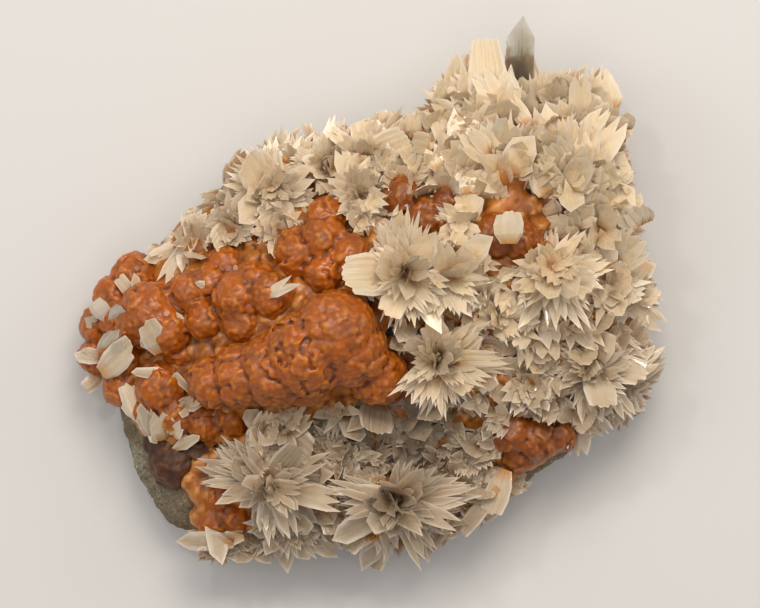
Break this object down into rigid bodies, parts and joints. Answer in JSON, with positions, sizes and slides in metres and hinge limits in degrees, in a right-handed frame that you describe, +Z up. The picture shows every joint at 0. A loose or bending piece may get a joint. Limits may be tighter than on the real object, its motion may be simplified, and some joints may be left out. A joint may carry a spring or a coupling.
{
  "type": "colemanite crystal specimen on rock",
  "caption": "Mineral specimen: rosettes of bladed white crystals and lumps of an orange mineral on flat-backed host rock, laid on its back.",
  "frame": {"origin": "middle of the specimen's outline seen from above, on the surface that the rock's flat back rests on", "axes": "+Z up, the way the crystals face; +X along the longest side, towards the crystal-covered end; +Y towards the tall clear blade"},
  "size_m": [0.12, 0.1121, 0.0495],
  "materials": {
    "rock": "rough broken stone, grey-green with dark grains",
    "orange": "waxy, finely crystalline, rounded lumps",
    "brown": "waxy, finely crystalline, rounded lumps",
    "crystal": "milky, glassy crystal faces",
    "clear": "clear, glassy crystal"
  },
  "bodies": {
    "root": {"host_rock": "rock", "orange_main_lobe": "orange", "orange_nodules_left": "orange", "orange_nodules_top": "orange", "orange_edge_nodules": "orange", "orange_nodules_low": "orange", "brown_nodule": "brown", "orange_nodules_foot": "orange", "orange_nodules_right": "orange", "orange_nodules_behind": "orange", "orange_nodules_tablet": "orange", "leaf_crystal": "crystal", "lens_crystal": "crystal", "paired_crystal": "crystal", "chip_crystal": "crystal", "low_plates": "crystal", "tablet_crystal": "crystal", "clear_crown_blade": "clear", "centre_rosette": "crystal", "lower_centre_rosette": "crystal", "bottom_left_rosette": "crystal", "foot_cluster": "crystal", "bottom_middle_rosette": "crystal", "upper_middle_crystals": "crystal", "crown_crystals": "crystal", "right_slope_crystals": "crystal", "inner_right_crystals": "crystal", "upper_left_crystals": "crystal", "left_fan_crystal": "crystal", "left_tip_crystal": "crystal", "left_block_crystal": "clear", "left_spike_crystal": "crystal", "left_foot_crystal": "crystal", "left_low_plates": "crystal", "hanging_crystals": "crystal", "block_crystal": "crystal", "glassy_crystal": "clear", "hollow_crystals": "crystal", "lower_right_crystals": "crystal"}
  },
  "joints": []
}
